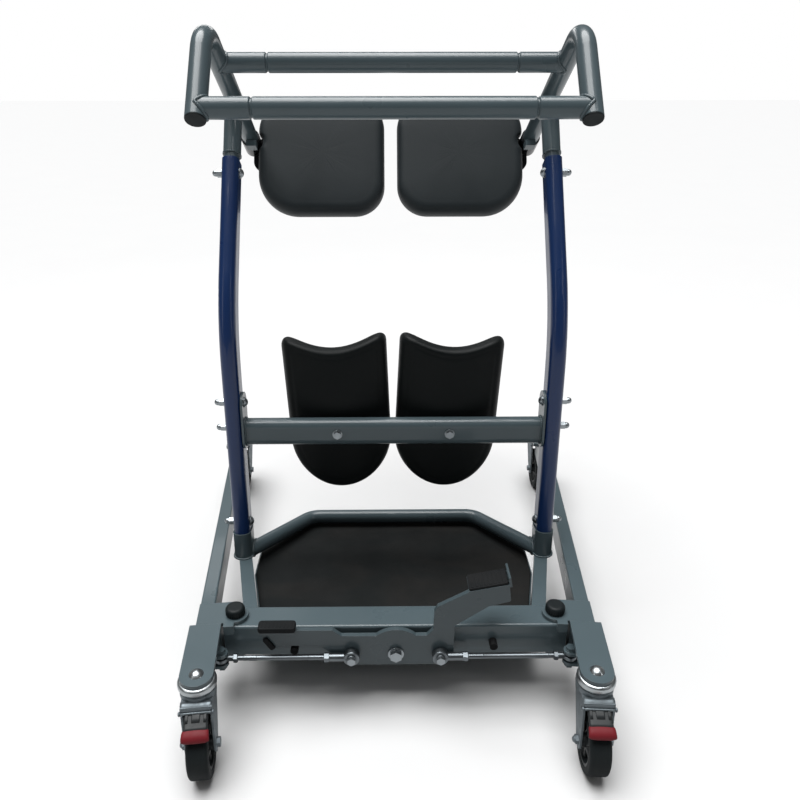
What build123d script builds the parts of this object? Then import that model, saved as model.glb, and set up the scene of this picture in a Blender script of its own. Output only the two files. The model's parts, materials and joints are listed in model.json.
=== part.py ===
"""Standing transfer aid: a wheeled frame with opening legs, shin pads and a swing-away seat.

Millimetres. +X is the carer's right, +Y runs from the carer to the patient, +Z is up.
While shapes are made, Y is counted from the near wheels' axles; place() moves the finished
shape so that the origin lies on the floor at the middle of the overall length.
"""
import os
from math import atan2, cos, degrees, pi, radians, sin

from build123d import *

# ---- driving dimensions -------------------------------------------------------------------
MID_Y = 417.84           # near axles to the middle of the overall length
SIDES = {"left": -1, "right": 1}

WHEEL_R = 50.0
TYRE_W = 32.0
FORK_IN = 20.0
FORK_T = 3.0
HUB_R = 37.0
TRAIL = 30.0             # swivel axis to wheel axle
BRAKE_PIN = (-26.0, 112.0)
MOUNT_Z = 150.5          # underside of the caster plates, top of the leg tubes
PLATE_T = 7.0
CROWN_TOP = MOUNT_Z - 14.0

PIVOT_X = 263.5          # leg pivots, from the middle
PIVOT_Y = 162.0
LEG_OFFSET = 50.0        # leg pivot to the leg tube's centre line
NEAR_OFFSET = 46.0       # leg pivot to the near caster plate's centre line
WEB_IN = 24.0            # leg pivot to the bracket wall between its two lugs
LEG_TOE = 5.4            # degrees that each leg toes out at rest
LEG_W = 25.0
LEG_H = 50.0
LUG_T = 6.0
NEAR_STEM = -128.0       # swivel axes along the leg, from its pivot
FAR_STEM = 703.0
NEAR_CLEAR = 77.5        # near swivel axis to the end of the leg tube, past the brake's tread

CROSS_W = 560.0
CROSS_D = 50.0
CROSS_TOP = 150.0
CROSS_H = 60.0
WALL = 2.0

RAIL_W = 25.0
RAIL_H = 40.0
RAIL_TOP = 122.0

UP_X = 288.5             # middle of the uprights and handle loops
UP_W = 30.0
UP_D = 50.0
SOCKET_TOP = 172.0
UP_LEAN = 5.0            # lower part of the upright, from vertical
UP_BEND = (420.4, 575.6)  # Y, Z where the two straight parts meet
UP_RAKE = 32.7           # upper part, from vertical
UP_BEND_R = 330.0
UP_TOP = 824.0

TUBE_R = 16.0            # handle loops and grip bars
LOOP_NEAR = (341.0, 907.0)
LOOP_PEAK = (448.0, 1035.0)
LOOP_FAR = (789.0, 852.0)
LOOP_BEND_R = 56.0
STUB_X = 208.0           # where the grip bars plug into their stubs
GROOVE = 2.4             # chamfer on each side of that joint
NEAR_BAR = (353.0, 921.3)
FAR_BAR = (541.0, 985.1)

HEEL_R = 14.0
HEEL_CORNER = (171.0, 515.0, 112.0)
HEEL_END = (281.6, 377.6, 124.0)
TRAY_Z = 88.5
TRAY_T = 3.0
FLOOR_SHOULDER = 427.0   # the footplate's sides run back to here
MAT_T = 4.0

SHIN_Z = 371.0
SHIN_Y = 404.0
SHIN_H = 50.0
SHIN_D = 30.0
SHIN_FLANGE_T = 4.0
PAD_BOLT_X = 102.0
PAD_W = 193.0
PAD_TOP = 534.0
PAD_BOTTOM = 236.0
PAD_R = 190.0            # the pad's back is bent to this radius
PAD_T = 38.0
PAD_GAP = 5.0            # bar to the pad's back, filled by the mounting boss
PAD_LEAN = 2.5           # degrees that each pad leans outwards on its bolt

CRANK_Z = 106.0
CRANK_Y = 127.0          # middle of the crank plate's thickness
CRANK_T = 8.0
TREAD_DEPTH = 38.0       # how far the open pedal's tread reaches back
CRANK_PIN = 72.0
ROD_Y = 115.0
ROD_END_X = 282.0
ROD_R = 4.0
ROD_SLACK = 3.6          # the open pivot of the closed linkage
STOPS = [(-165.0, 112.0), (159.0, 118.0)]   # X, Z of the rubber bumpers

SEAT_W = 262.0
SEAT_H = 252.0
SEAT_T = 40.0
SEAT_GAP = 5.0           # tube end to the pad's face
SEAT_BACK = SEAT_GAP + SEAT_T
SEAT_HUB_END = SEAT_BACK + 7.0
SEAT_OUTER = 13.5        # pivot to the pad's outer edge
SEAT_TOP = 96.5          # pivot to the pad's top edge, up the slope
RUN = 0.05               # radial clearance of pins that turn in their holes


# ---- helpers ------------------------------------------------------------------------------
def place(shape):
    return Pos(0, -MID_Y, 0) * shape


def save(name, *shapes):
    """Write one sub-part: a single solid, or a group of separate ones."""
    solids = [solid for shape in shapes for solid in shape.solids()]
    whole = solids[0] if len(solids) == 1 else Compound(children=solids)
    export_step(place(whole), f"parts/{name}.step")


def mirrored(side, shape):
    """Shapes are drawn for the right-hand side."""
    return shape if side > 0 else mirror(shape, about=Plane.YZ)


def rod(start, end, radius):
    """A round bar from one point to another."""
    axis = Vector(*end) - Vector(*start)
    plane = Plane(origin=start, z_dir=axis)
    return plane * Cylinder(radius, axis.length, align=(Align.CENTER, Align.CENTER, Align.MIN))


def hexagon(start, direction, across_flats, height):
    plane = Plane(origin=start, z_dir=direction)
    return extrude(plane * RegularPolygon(across_flats / 2, 6, major_radius=False), height)


def dome(start, direction, radius, height):
    """A low domed bolt head standing on a plane."""
    ball_r = (radius * radius + height * height) / (2 * height)
    plane = Plane(origin=start, z_dir=direction)
    ball = Pos(0, 0, height - ball_r) * Sphere(ball_r)
    keep = Cylinder(radius, height, align=(Align.CENTER, Align.CENTER, Align.MIN))
    return plane * (ball & keep)


def acorn(start, direction, across_flats=13.0, height=14.0):
    """A domed cap nut."""
    plane = Plane(origin=start, z_dir=direction)
    base = extrude(RegularPolygon(across_flats / 2, 6, major_radius=False), height * 0.5)
    cap = Pos(0, 0, height - across_flats * 0.44) * Sphere(across_flats * 0.44)
    neck = Cylinder(across_flats * 0.44, height * 0.6,
                    align=(Align.CENTER, Align.CENTER, Align.MIN))
    return plane * (base + neck + cap)


def side_path(points, radii):
    """A path in the YZ plane: straight runs joined by arcs."""
    return FilletPolyline(*[(0, y, z) for y, z in points], radius=radii)


def swept(profile, path):
    """Sweep a profile whose X stays the machine's X."""
    start = Plane(origin=path @ 0, x_dir=(1, 0, 0), z_dir=path % 0)
    return sweep(start * profile, path=path)


def oval(width, depth):
    return RectangleRounded(width, depth, min(width, depth) * 0.45)


# ---- uprights -----------------------------------------------------------------------------
def lower_axis(z):
    return UP_BEND[0] + (z - UP_BEND[1]) * sin(radians(UP_LEAN)) / cos(radians(UP_LEAN))


def upper_axis(z):
    return UP_BEND[0] + (z - UP_BEND[1]) * sin(radians(UP_RAKE)) / cos(radians(UP_RAKE))


def upright_path(bottom, top):
    points = [(lower_axis(bottom), bottom), UP_BEND, (upper_axis(top), top)]
    return Pos(UP_X, 0, 0) * side_path(points, UP_BEND_R)


def upright(side):
    path = upright_path(SOCKET_TOP + 0.3, UP_TOP)
    tube = swept(oval(UP_W, UP_D), path) - swept(oval(UP_W - 2 * WALL, UP_D - 2 * WALL), path)
    for y, z in UPRIGHT_BOLTS:
        tube -= rod((UP_X - UP_W, y, z), (UP_X + UP_W, y, z), 4.2)
    return mirrored(side, tube)


def socket(side):
    """Collar on the end of the side rail, with the spigot that goes up inside the upright."""
    foot = Vector(UP_X, lower_axis(RAIL_TOP - 10), RAIL_TOP - 10)
    shoulder = Vector(UP_X, lower_axis(SOCKET_TOP), SOCKET_TOP)
    lean = shoulder - foot
    collar = extrude(Plane(origin=foot, x_dir=(1, 0, 0), z_dir=lean)
                     * oval(UP_W + 4, UP_D + 4), lean.length)
    collar -= z_box(200, 400, 300, 500, 0, RAIL_TOP)
    spigot = extrude(Plane(origin=shoulder, x_dir=(1, 0, 0), z_dir=lean)
                     * oval(UP_W - 2 * WALL - 1, UP_D - 2 * WALL - 1), 45)
    stub = collar + spigot
    y, z = UPRIGHT_BOLTS[0]
    stub -= rod((UP_X - UP_W, y, z), (UP_X + UP_W, y, z), 4.2)
    return mirrored(side, stub)


UPRIGHT_BOLTS = [(lower_axis(188.0), 188.0), (lower_axis(380.0), 380.0),
                 (lower_axis(428.0), 428.0), (upper_axis(806.0), 806.0)]


def upright_bolt(side, y, z):
    """Button-head bolt from the inside, washers, and a cap nut outside."""
    inner, outer = UP_X - UP_W / 2, UP_X + UP_W / 2
    plate = SHIN_FLANGE_T if (y, z) in UPRIGHT_BOLTS[1:3] else 0.0
    shank = rod((inner - plate - 1.5, y, z), (outer + 9, y, z), 4.0)
    head = dome((inner - plate - 1.5, y, z), (-1, 0, 0), 8.5, 5.5)
    washers = [rod((inner - plate - 1.5, y, z), (inner - plate, y, z), 9.5),
               rod((outer, y, z), (outer + 1.5, y, z), 8.5)]
    nut = acorn((outer + 1.5, y, z), (1, 0, 0), 13.0, 18.0)
    return mirrored(side, shank + head + washers[0] + washers[1] + nut)


# ---- handle loops and grip bars -----------------------------------------------------------
def loop_axis():
    return Pos(UP_X, 0, 0) * side_path([LOOP_NEAR, LOOP_PEAK, LOOP_FAR], LOOP_BEND_R)


def stem_join():
    """Where the stem's centre line meets the loop's far leg."""
    slope = (LOOP_FAR[1] - LOOP_PEAK[1]) / (LOOP_FAR[0] - LOOP_PEAK[0])
    rake = sin(radians(UP_RAKE)) / cos(radians(UP_RAKE))
    z = (LOOP_PEAK[1] + slope * (UP_BEND[0] - rake * UP_BEND[1] - LOOP_PEAK[0])) \
        / (1 - slope * rake)
    return upper_axis(z), z


def handle_loop(side):
    """Bent handle tube with its stem, and the stubs that take the grip bars: one weldment."""
    axis = loop_axis()
    tube = swept(Circle(TUBE_R), axis)
    join_y, join_z = stem_join()
    rake = Vector(0, sin(radians(UP_RAKE)), cos(radians(UP_RAKE)))
    foot = Vector(UP_X, upper_axis(UP_TOP), UP_TOP)
    join = Vector(UP_X, join_y, join_z)
    neck_top = foot + rake * 12
    stem = extrude(Plane(origin=neck_top, x_dir=(1, 0, 0), z_dir=rake)
                   * oval(UP_W, 36), (join - neck_top).length)
    ring = extrude(Plane(origin=neck_top, x_dir=(1, 0, 0), z_dir=rake) * oval(UP_W + 2, 38), 3)
    neck = extrude(Plane(origin=foot - rake * 50, x_dir=(1, 0, 0), z_dir=rake)
                   * oval(UP_W - 2 * WALL - 1, 34), 64)
    weld = tube + stem + ring + neck
    for y, z in (NEAR_BAR, FAR_BAR):
        weld += chamfer((rod((STUB_X + 0.5, y, z), (UP_X, y, z), TUBE_R)).edges()
                        .sort_by(Axis.X)[0], GROOVE)
    weld -= swept(Circle(TUBE_R - WALL), axis)
    for y, z in (NEAR_BAR, FAR_BAR):
        weld -= rod((STUB_X, y, z), (UP_X - TUBE_R - 2, y, z), TUBE_R - WALL)
    y, z = UPRIGHT_BOLTS[3]
    weld -= rod((UP_X - UP_W, y, z), (UP_X + UP_W, y, z), 4.2)
    return mirrored(side, weld)


def grip_bar(y, z):
    """Grip bar with a reduced neck at each end that plugs into its stub."""
    bar = rod((-STUB_X + 0.5, y, z), (STUB_X - 0.5, y, z), TUBE_R)
    ends = bar.edges().filter_by(GeomType.CIRCLE)
    bar = chamfer(ends, GROOVE)
    neck = rod((-STUB_X - 24, y, z), (STUB_X + 24, y, z), TUBE_R - WALL - 0.2)
    bore = rod((-STUB_X - 25, y, z), (STUB_X + 25, y, z), TUBE_R - 2 * WALL)
    return bar + neck - bore


def loop_plug(side):
    """Cap in the open near end of a handle loop."""
    start = Vector(UP_X, *LOOP_NEAR)
    inward = Vector(0, LOOP_PEAK[0] - LOOP_NEAR[0], LOOP_PEAK[1] - LOOP_NEAR[1]).normalized()
    cap = rod(start - inward * 2.5, start, TUBE_R - 0.3)
    cap = fillet(cap.faces().sort_by(Axis.Y)[0].edges(), 1.2)
    stem = rod(start, start + inward * 14, TUBE_R - WALL - 0.2)
    return mirrored(side, cap + stem)


def seat_axis():
    """Direction of the seat pivot: along the loop's far leg, away from the handle."""
    return Vector(0, LOOP_FAR[0] - LOOP_PEAK[0], LOOP_FAR[1] - LOOP_PEAK[1]).normalized()


def seat_plane(distance=0.0):
    """Frame on the seat pivot: x inwards, y up the pad's slope, z away from the handle."""
    axis = seat_axis()
    return Plane(origin=Vector(UP_X, *LOOP_FAR) + axis * distance, x_dir=(-1, 0, 0), z_dir=axis)


def seat_pin(side):
    """Pivot pin plugged into the loop's far end, with its retaining head."""
    low = (Align.CENTER, Align.CENTER, Align.MIN)
    pin = seat_plane(-30) * Cylinder(TUBE_R - WALL - 0.2, 30, align=low)
    pin += seat_plane(0) * Cylinder(6, SEAT_HUB_END + 1, align=low)
    pin += dome(seat_plane(SEAT_HUB_END + 0.5).origin, seat_axis(), 10, 5)
    pin += seat_plane(0.05) * Cylinder(TUBE_R, 0.95, align=low)
    return mirrored(side, pin)


def seat_stop(side):
    """Block under the loop's far end that holds the seat up, with its screw."""
    low = (Align.CENTER, Align.CENTER, Align.MIN)
    stop = seat_plane(-24) * (Pos(6, -TUBE_R - 6.5, 0) * Box(20, 12, 22, align=low))
    screw = hexagon(seat_plane(-2).origin + seat_plane().y_dir * -(TUBE_R + 7)
                    + seat_plane().x_dir * 6, seat_axis(), 10, 3)
    return [mirrored(side, shape) for shape in (stop, screw)]


def seat_pad(side):
    """Half seat: a padded board with rounded corners, notched round the pivot hub."""
    left, right = SEAT_OUTER, SEAT_OUTER + SEAT_W
    top, bottom = SEAT_TOP, SEAT_TOP - SEAT_H
    face = make_face(Polyline((left, top), (right, top), (right, bottom), (left, bottom),
                              close=True))
    for corner, radius in (((left, top), 75), ((right, top), 70),
                           ((right, bottom), 62), ((left, bottom), 85)):
        vertex = face.vertices().sort_by_distance((*corner, 0))[0]
        face = fillet(vertex, radius)
    pad = extrude(face, SEAT_T)
    pad = fillet(pad.faces().sort_by(Axis.Z)[0].edges(), 11)
    pad = fillet(pad.faces().sort_by(Axis.Z)[-1].edges(), 8)
    pad -= Cylinder(22, 3 * SEAT_T)
    return mirrored(side, seat_plane(SEAT_GAP) * pad)


def seat_bracket(side):
    """Pivot hub and the arm plate that carries the pad from behind, with its screws."""
    low = (Align.CENTER, Align.CENTER, Align.MIN)
    hub = seat_plane(1.5) * Cylinder(19, SEAT_HUB_END - 1.5, align=low)
    arm = Pos(80, -18, 0) * Box(160, 70, 6, align=low)
    arm = fillet(arm.edges().filter_by(Axis.Z), 20)
    hub += seat_plane(SEAT_BACK + 0.5) * arm
    hub -= seat_plane(0) * Cylinder(6 + RUN, 80, align=low)
    back = seat_plane(SEAT_BACK + 6.5)
    screws = [dome(back.from_local_coords(Vector(u, v, 0)), seat_axis(), 6, 3)
              for u in (60, 140) for v in (-40, 4)]
    return [mirrored(side, shape) for shape in [hub] + screws]


# ---- base ---------------------------------------------------------------------------------
def z_box(x0, x1, y0, y1, z0, z1):
    return Pos((x0 + x1) / 2, (y0 + y1) / 2, (z0 + z1) / 2) * Box(x1 - x0, y1 - y0, z1 - z0)


def crossmember():
    near, far = PIVOT_Y - CROSS_D / 2, PIVOT_Y + CROSS_D / 2
    half, low = CROSS_W / 2, CROSS_TOP - CROSS_H
    tube = z_box(-half, half, near, far, low, CROSS_TOP)
    tube = fillet(tube.edges().filter_by(Axis.X), 4)
    tube -= z_box(-half, half, near + WALL, far - WALL, low + WALL, CROSS_TOP - WALL)
    for x in (-PIVOT_X, PIVOT_X):
        tube -= rod((x, PIVOT_Y, 0), (x, PIVOT_Y, 200), 6.2)
    tube -= rod((0, near - 5, CRANK_Z), (0, near + 5, CRANK_Z), 6.2)
    for x, z in STOPS:
        tube -= rod((x, near - 5, z), (x, near + 5, z), 3.1)
    return tube


def crank_stop(x, z):
    """Rubber bumper with its spigot in the crossmember's near wall."""
    near = PIVOT_Y - CROSS_D / 2
    return rod((x, near - 15, z), (x, near, z), 6.5) + rod((x, near, z), (x, near + 6, z), 3.0)


def rail_line(y):
    """X of the side rail's centre line."""
    start = PIVOT_Y + CROSS_D / 2
    return 244 + (UP_X - 244) * (y - start) / (lower_axis(RAIL_TOP) - start)


def rail_prism(inset):
    """The side rail's outer shape, or the shape of its hollow."""
    start, end = PIVOT_Y + CROSS_D / 2, lower_axis(RAIL_TOP) + UP_D / 2 + 2
    half = RAIL_W / 2 - inset
    outline = Polyline((rail_line(start) - half, start), (rail_line(start) + half, start),
                       (rail_line(end) + half, end), (rail_line(end) - half, end), close=True)
    low = Pos(0, 0, RAIL_TOP - RAIL_H + inset)
    return extrude(low * make_face(outline), RAIL_H - 2 * inset)


def side_rail(side):
    return mirrored(side, rail_prism(0) - rail_prism(WALL))


def heel_rail():
    """Round tube that closes the footplate behind the heels, cut to the rails and collars."""
    x1, y1, z1 = HEEL_CORNER
    x0, y0, z0 = HEEL_END
    path = FilletPolyline((-x0, y0, z0), (-x1, y1, z1), (x1, y1, z1), (x0, y0, z0), radius=38)
    start = Plane(origin=path @ 0, z_dir=path % 0)
    tube = sweep(start * Circle(HEEL_R), path=path) - sweep(start * Circle(HEEL_R - WALL), path=path)
    for side in SIDES.values():
        tube -= mirrored(side, rail_prism(0))
        tube -= socket(side)
    return tube


def floor_outline(inset):
    """Footplate outline between the side rails and under the heel rail."""
    start = PIVOT_Y + CROSS_D / 2 + inset
    wide = UP_X - RAIL_W / 2 - 9 - inset
    corner_x, corner_y = HEEL_CORNER[0] - inset, HEEL_CORNER[1] + 6 - inset
    half = RAIL_W / 2 + 1.0 + inset
    right = [(rail_line(start) - half, start), (rail_line(345) - half, 345),
             (wide, 400 - inset), (wide, FLOOR_SHOULDER - inset), (corner_x, corner_y)]
    left = [(-x, y) for x, y in reversed(right)]
    return make_face(Polyline(*right, *left, close=True))


def footplate_tray():
    return extrude(Pos(0, 0, TRAY_Z) * floor_outline(0.3), TRAY_T)


def footplate_mat():
    return extrude(Pos(0, 0, TRAY_Z + TRAY_T) * floor_outline(3.0), MAT_T)


def shin_bar():
    """Cross tube with a bolting flange at each end: one weldment."""
    half = UP_X - UP_W / 2 - SHIN_FLANGE_T
    plane = Plane(origin=(-half, SHIN_Y, SHIN_Z), x_dir=(0, 1, 0), z_dir=(1, 0, 0))
    bar = extrude(plane * oval(SHIN_D, SHIN_H), 2 * half)
    for side in (-1, 1):
        origin = (side * (half + SHIN_FLANGE_T / 2), SHIN_Y + 1, SHIN_Z + 22)
        plate = Pos(*origin) * Rot(UP_LEAN * -1, 0, 0) * Box(SHIN_FLANGE_T, 44, 106)
        bar += fillet(plate.edges().filter_by(Axis.X), 20)
    bar -= extrude(plane * oval(SHIN_D - 2 * WALL, SHIN_H - 2 * WALL), 2 * half)
    for y, z in UPRIGHT_BOLTS[1:3]:
        bar -= rod((-UP_X, y, z), (UP_X, y, z), 4.2)
    for x in (-PAD_BOLT_X, PAD_BOLT_X):
        bar -= rod((x, 300, SHIN_Z), (x, 500, SHIN_Z), 4.2)
    return bar


def shin_pad(side):
    """Shin pad: a bent slab, hollow towards the legs, with a dished top and a round bottom."""
    back = SHIN_Y + SHIN_D / 2 + PAD_GAP
    centre = (0, back + PAD_R)
    half, r = PAD_W / 2, 92.0
    top, low = PAD_TOP, PAD_BOTTOM + r
    outline = make_face([
        Line((-half, low), (-half, top)),
        ThreePointArc((-half, top), (0, top - 14), (half, top)),
        Line((half, top), (half, low)),
        ThreePointArc((half, low), (0, PAD_BOTTOM), (-half, low))])
    plane = Plane(origin=(0, back + 150, 0), x_dir=(1, 0, 0), z_dir=(0, -1, 0))
    prism = extrude(plane * outline, 170)
    tall = Pos(0, centre[1], SHIN_Z + 10)
    slab = tall * (Cylinder(PAD_R, 400) - Cylinder(PAD_R - PAD_T, 400))
    pad = prism & slab & z_box(-200, 200, back - 30, back + 120, 0, 700)
    boss = rod((0, SHIN_Y + SHIN_D / 2 + 0.2, SHIN_Z), (0, back + 8, SHIN_Z), 24)
    pad += boss
    pad -= rod((0, 400, SHIN_Z), (0, 446, SHIN_Z), 4.2)
    return Pos(side * PAD_BOLT_X, 0, SHIN_Z) * Rot(0, side * PAD_LEAN, 0) * Pos(0, 0, -SHIN_Z) * pad


def shin_pad_bolt(side):
    """Hex bolt and washer through the shin bar into the pad."""
    near = SHIN_Y - SHIN_D / 2
    x = side * PAD_BOLT_X
    head = hexagon((x, near - 1.6, SHIN_Z), (0, -1, 0), 13, 5.5)
    shank = rod((x, near - 1.6, SHIN_Z), (x, 444, SHIN_Z), 4.0)
    return head + shank + rod((x, near - 1.6, SHIN_Z), (x, near, SHIN_Z), 9.0)


def leg_pivot_bolt(side):
    """Pivot bolt through both leg lugs and the crossmember, with its washer and lock nut."""
    x = side * PIVOT_X
    top = MOUNT_Z + LUG_T + 0.5
    low = CROSS_TOP - CROSS_H - 0.5 - LUG_T - 0.5
    bolt = rod((x, PIVOT_Y, low - 9), (x, PIVOT_Y, top + 1.5), 6.0)
    bolt += rod((x, PIVOT_Y, top), (x, PIVOT_Y, top + 1.5), 13)
    bolt += hexagon((x, PIVOT_Y, top + 1.5), (0, 0, 1), 17, 6)
    nut = hexagon((x, PIVOT_Y, low), (0, 0, -1), 17, 8) - rod((x, PIVOT_Y, 0), (x, PIVOT_Y, 99), 6.05)
    return bolt, nut


def pivot_cap(side):
    """Ribbed plastic cap over the pivot bolt's head."""
    x = side * PIVOT_X
    low = MOUNT_Z + LUG_T + 2.1
    cap = rod((x, PIVOT_Y, low), (x, PIVOT_Y, low + 13), 16)
    cap = fillet(cap.edges().filter_by(GeomType.CIRCLE).sort_by(Axis.Z)[-1], 6)
    hollow = rod((x, PIVOT_Y, low - 1), (x, PIVOT_Y, low + 6.5), 11)
    ribs = 24
    for i in range(ribs):
        angle = 2 * pi * i / ribs
        spot = (x + 16.4 * cos(angle), PIVOT_Y + 16.4 * sin(angle))
        cap -= rod((*spot, low - 1), (*spot, low + 20), 1.1)
    return cap - hollow


# ---- legs ---------------------------------------------------------------------------------


def leg_place(side, shape):
    """From the leg's own frame (x outwards, y along the leg from its pivot) to the machine's."""
    return mirrored(side, Pos(PIVOT_X, PIVOT_Y, 0) * Rot(0, 0, -LEG_TOE) * shape)


def leg_frame(side):
    """Leg tube with its pivot lugs above and below the crossmember: one weldment."""
    inner, outer = LEG_OFFSET - LEG_W / 2, LEG_OFFSET + LEG_W / 2
    top, low = MOUNT_Z, MOUNT_Z - LEG_H
    near, far = NEAR_STEM + NEAR_CLEAR, FAR_STEM - 48
    tube = z_box(inner, outer, near, far, low, top)
    tube = fillet(tube.edges().filter_by(Axis.Y), 3)
    tube -= z_box(inner + WALL, outer - WALL, near, far, low + WALL, top - WALL)
    lower = CROSS_TOP - CROSS_H - 0.5 - LUG_T
    for base in (top, lower):
        lug = rod((0, 0, base), (0, 0, base + LUG_T), 21)
        lug += z_box(0, outer - 1, -21, 30, base, base + LUG_T)
        tube += lug
    tube += z_box(inner, outer - 1, -21, 30, lower, low)
    tube += z_box(WEB_IN, inner + 1, -21, 30, lower, top)
    tab = z_box(1, 17.5, -30.5, -26.5, top - 11, top + LUG_T)
    tube += fillet(tab.edges().filter_by(Axis.Y).group_by(Axis.Z)[0], 4)
    tube += z_box(1, 17.5, -30.5, -10, top, top + LUG_T)
    tube -= rod((0, 0, 0), (0, 0, 300), 6 + RUN)
    plugs = [z_box(inner + WALL + 0.3, outer - WALL - 0.3, y0, y1, low + WALL + 0.3,
                   top - WALL - 0.3) for y0, y1 in ((near, near + 8), (far - 8, far))]
    return [leg_place(side, shape) for shape in [tube] + plugs]


def caster_plates(side):
    """Flat arms on top of the leg tube that carry the near and far casters."""
    plates = []
    for x, stem, root in ((NEAR_OFFSET, NEAR_STEM, -22.0), (LEG_OFFSET, FAR_STEM, FAR_STEM - 105)):
        plate = rod((x, stem, MOUNT_Z), (x, stem, MOUNT_Z + PLATE_T), 25)
        low, high = sorted((stem, root))
        plate += z_box(x - 25, x + 25, low, high, MOUNT_Z, MOUNT_Z + PLATE_T)
        plate -= rod((x, stem, 0), (x, stem, 300), 6.2)
        plates.append(leg_place(side, plate))
    return plates


def rod_clevis(side):
    """Clevis on the leg's inner face for the tie rod, with its pin, washers and nut."""
    face = LEG_OFFSET - LEG_W / 2
    x, y = ROD_END_LOCAL
    parts = []
    for low in (CRANK_Z - 12.5, CRANK_Z + 7.0):
        cheek = rod((x, y, low), (x, y, low + 5), 11)
        cheek += z_box(x, face, y - 11, y + 11, low, low + 5)
        parts.append(cheek)
    low, high = CRANK_Z - 12.5, CRANK_Z + 12.0
    fork = parts[0] + parts[1] - rod((x, y, 0), (x, y, 200), 4.1)
    pin = rod((x, y, low - 1.5), (x, y, high + 1.5), 4.0)
    pin += rod((x, y, high), (x, y, high + 1.5), 8) + hexagon((x, y, high + 1.5), (0, 0, 1), 13, 5)
    pin += rod((x, y, low - 1.5), (x, y, low), 8) + hexagon((x, y, low - 1.5), (0, 0, -1), 13, 6)
    return [leg_place(side, shape) for shape in (*fork.solids(), pin)]


def to_leg(x, y):
    """A point on the right-hand side, in the right leg's own frame."""
    toe = radians(LEG_TOE)
    dx, dy = x - PIVOT_X, y - PIVOT_Y
    return dx * cos(toe) - dy * sin(toe), dx * sin(toe) + dy * cos(toe)


ROD_END_LOCAL = to_leg(ROD_END_X, ROD_Y)


def stem_point(along):
    """Swivel axis of a caster on the right-hand side."""
    toe = radians(LEG_TOE)
    across = NEAR_OFFSET if along < 0 else LEG_OFFSET
    return (PIVOT_X + across * cos(toe) + along * sin(toe),
            PIVOT_Y - across * sin(toe) + along * cos(toe))


# ---- casters ------------------------------------------------------------------------------
# name: side, place along the leg, degrees turned, side that the axle nut is on
CASTERS = {"near_left": (-1, NEAR_STEM, 6.0, -1), "near_right": (1, NEAR_STEM, -3.0, -1),
           "far_left": (-1, FAR_STEM, 0.0, -1), "far_right": (1, FAR_STEM, 0.0, 1)}


def caster_place(name, shape):
    """From the caster's own frame (swivel axis at the origin, wheel trailing to -Y)."""
    side, stem, turn, _ = CASTERS[name]
    x, y = stem_point(stem)
    return Pos(side * x, y, 0) * Rot(0, 0, turn) * shape


def caster_stem(name):
    """Kingpin with its domed head, the fixed upper race, and the nut below the fork."""
    head_z = MOUNT_Z + PLATE_T
    pin = rod((0, 0, CROWN_TOP - 25), (0, 0, head_z), 6.0) + dome((0, 0, head_z), (0, 0, 1), 11, 6)
    race = rod((0, 0, CROWN_TOP + 0.5), (0, 0, MOUNT_Z), 29)
    race = fillet(race.edges().filter_by(GeomType.CIRCLE), 5)
    race -= rod((0, 0, 0), (0, 0, 300), 6.1)
    nut = hexagon((0, 0, CROWN_TOP - 14.5), (0, 0, -1), 19, 9) - rod((0, 0, 0), (0, 0, 300), 6.05)
    return [caster_place(name, shape) for shape in (pin, race, nut)]


def caster_fork(name):
    """Pressed fork with its bearing crown, and the axle bolt across it."""
    crown = rod((0, 0, CROWN_TOP - 11), (0, 0, CROWN_TOP), 27)
    crown = fillet(crown.edges().filter_by(GeomType.CIRCLE).sort_by(Axis.Z)[-1], 3)
    width = FORK_IN + FORK_T
    crown += z_box(-width, width, -34, 26, CROWN_TOP - 14, CROWN_TOP - 10)
    cheek = Plane(origin=(FORK_IN, 0, 0), x_dir=(0, 1, 0), z_dir=(1, 0, 0))
    outline = make_hull([Pos(-TRAIL, WHEEL_R) * edge for edge in Circle(13).edges()]
                        + [*Polyline((-34, CROWN_TOP - 11), (26, CROWN_TOP - 11),
                                     (26, CROWN_TOP - 20)).edges()])
    plate = extrude(cheek * outline, FORK_T)
    fork = crown + plate + mirror(plate, about=Plane.YZ)
    fork -= rod((0, 0, 0), (0, 0, 300), 6 + RUN)
    fork -= rod((-60, -TRAIL, WHEEL_R), (60, -TRAIL, WHEEL_R), 4.1)
    if name.startswith("near"):
        fork -= rod((-60, *BRAKE_PIN), (60, *BRAKE_PIN), 2.5 + RUN)
    nut_side = CASTERS[name][3]
    axle = rod((-width * nut_side, -TRAIL, WHEEL_R), ((width + 1) * nut_side, -TRAIL, WHEEL_R), 4.0)
    axle += hexagon((-width * nut_side, -TRAIL, WHEEL_R), (-nut_side, 0, 0), 13, 5.5)
    nut = acorn((width * nut_side, -TRAIL, WHEEL_R), (nut_side, 0, 0), 13, 9)
    nut -= rod(((width - 1) * nut_side, -TRAIL, WHEEL_R),
               ((width + 1.2) * nut_side, -TRAIL, WHEEL_R), 4.05)
    return [caster_place(name, shape) for shape in (fork, axle, nut)]


def wheel_tyre(name):
    ring = rod((-TYRE_W / 2, -TRAIL, WHEEL_R), (TYRE_W / 2, -TRAIL, WHEEL_R), WHEEL_R)
    ring = fillet(ring.edges().filter_by(GeomType.CIRCLE), 5)
    ring -= rod((-40, -TRAIL, WHEEL_R), (40, -TRAIL, WHEEL_R), HUB_R + 0.05)
    return caster_place(name, ring)


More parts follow.
